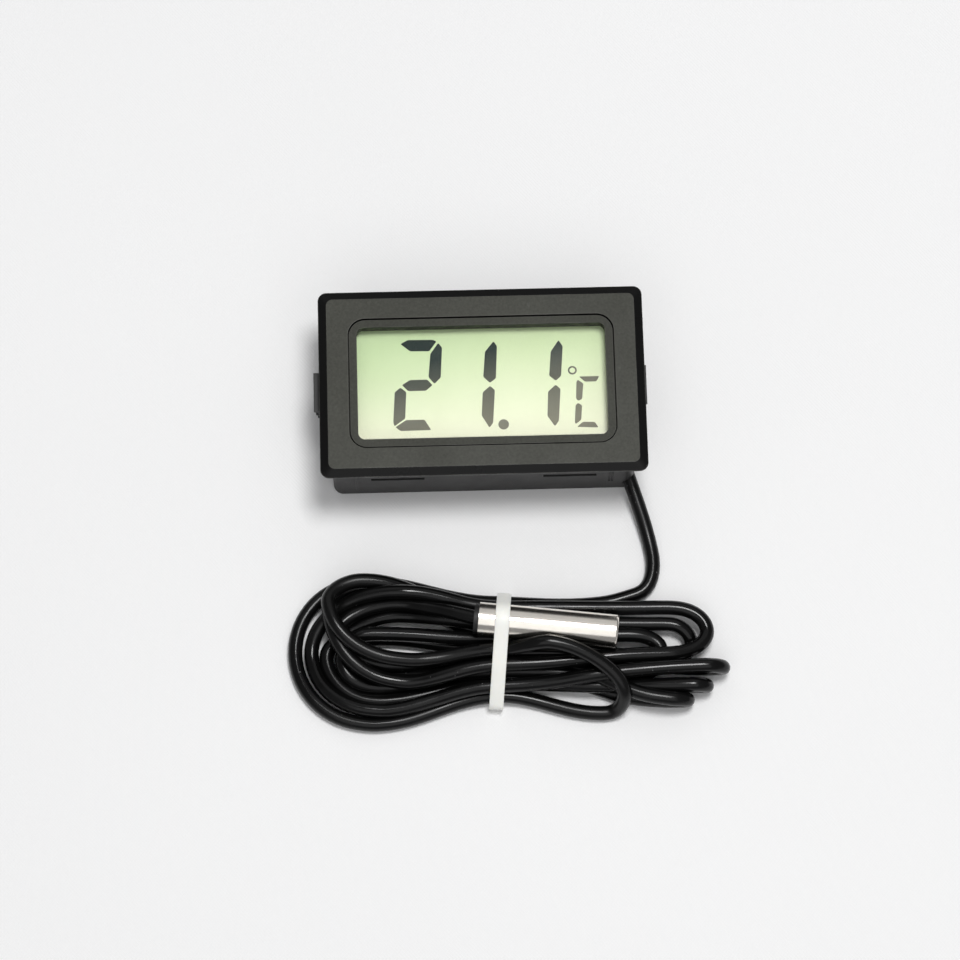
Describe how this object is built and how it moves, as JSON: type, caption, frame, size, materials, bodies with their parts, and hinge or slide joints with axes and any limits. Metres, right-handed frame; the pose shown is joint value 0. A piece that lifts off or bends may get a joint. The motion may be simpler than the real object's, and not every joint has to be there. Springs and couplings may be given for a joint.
{
  "type": "digital probe thermometer",
  "caption": "Small black panel-mount digital thermometer with a liquid crystal display, snap-in side arms and a tied probe cable with a steel sensor.",
  "frame": {"origin": "centre of the rear face of the thermometer's case, on the surface it lies on", "axes": "+Z out of the display, +X to the right of the reading, +Y towards the top of the digits; the tied cable lies on the -Y side"},
  "size_m": [0.0649, 0.0632, 0.0152],
  "materials": {
    "case_black": "moulded black ABS with a fine satin texture",
    "polarizer": "thin greenish film with a soft gloss",
    "display_glass": "clear display glass",
    "reflector": "pale green-grey reflective film",
    "zebra_rubber": "striped conductive rubber",
    "circuit_board": "green solder mask",
    "black_resin": "black potting resin",
    "plated_metal": "tin and nickel plated metal",
    "ceramic_parts": "small surface-mount ceramics",
    "cell_steel": "nickel-plated steel can",
    "cable_jacket": "soft black PVC jacket with a satin sheen",
    "wire_red": "red PVC insulation",
    "wire_black": "black PVC insulation",
    "tie_plastic": "cream-white plastic-coated tie",
    "probe_steel": "polished stainless steel",
    "bead_glass": "amber glass bead"
  },
  "bodies": {
    "case": {"front_bezel": "case_black", "display_surround": "case_black", "rear_housing": "case_black", "cable_clamp": "case_black", "lcd_front_polarizer": "polarizer", "lcd_front_glass": "display_glass", "lcd_rear_glass": "display_glass", "lcd_reflector": "reflector", "zebra_strip": "zebra_rubber", "circuit_board": "circuit_board", "chip_blob": "black_resin", "quartz_crystal": "plated_metal", "smd_resistors": "ceramic_parts", "smd_capacitors": "ceramic_parts", "solder_joints": "plated_metal", "battery_contact_positive": "plated_metal", "battery_contact_negative": "plated_metal", "battery_cell_left": "cell_steel", "battery_cell_right": "cell_steel", "cable_tail": "cable_jacket", "wire_red": "wire_red", "wire_black": "wire_black", "sensor_cable": "cable_jacket", "cable_hank": "cable_jacket", "cable_tie": "tie_plastic", "probe_sleeve": "probe_steel", "probe_potting": "black_resin", "probe_cable_end": "cable_jacket", "thermistor_bead": "bead_glass", "thermistor_leads": "plated_metal"},
    "battery_door": {"battery_door": "case_black", "battery_contact_bridge": "plated_metal"},
    "snap_left": {"snap_arm_left": "case_black"},
    "snap_right": {"snap_arm_right": "case_black"}
  },
  "joints": [
    {"name": "door_slide", "type": "slide", "parent": "case", "child": "battery_door", "axis": [-1, 0, 0], "range_m": [0, 0.026]},
    {"name": "left_snap_flex", "type": "hinge", "parent": "case", "child": "snap_left", "pos_m": [-0.0217, -0.0005, 0.0034], "axis": [0, 1, 0], "range_deg": [0, 13], "stiffness_Nm_per_rad": 0.1},
    {"name": "right_snap_flex", "type": "hinge", "parent": "case", "child": "snap_right", "pos_m": [0.0217, -0.0005, 0.0034], "axis": [0, -1, 0], "range_deg": [0, 10], "stiffness_Nm_per_rad": 0.1}
  ]
}
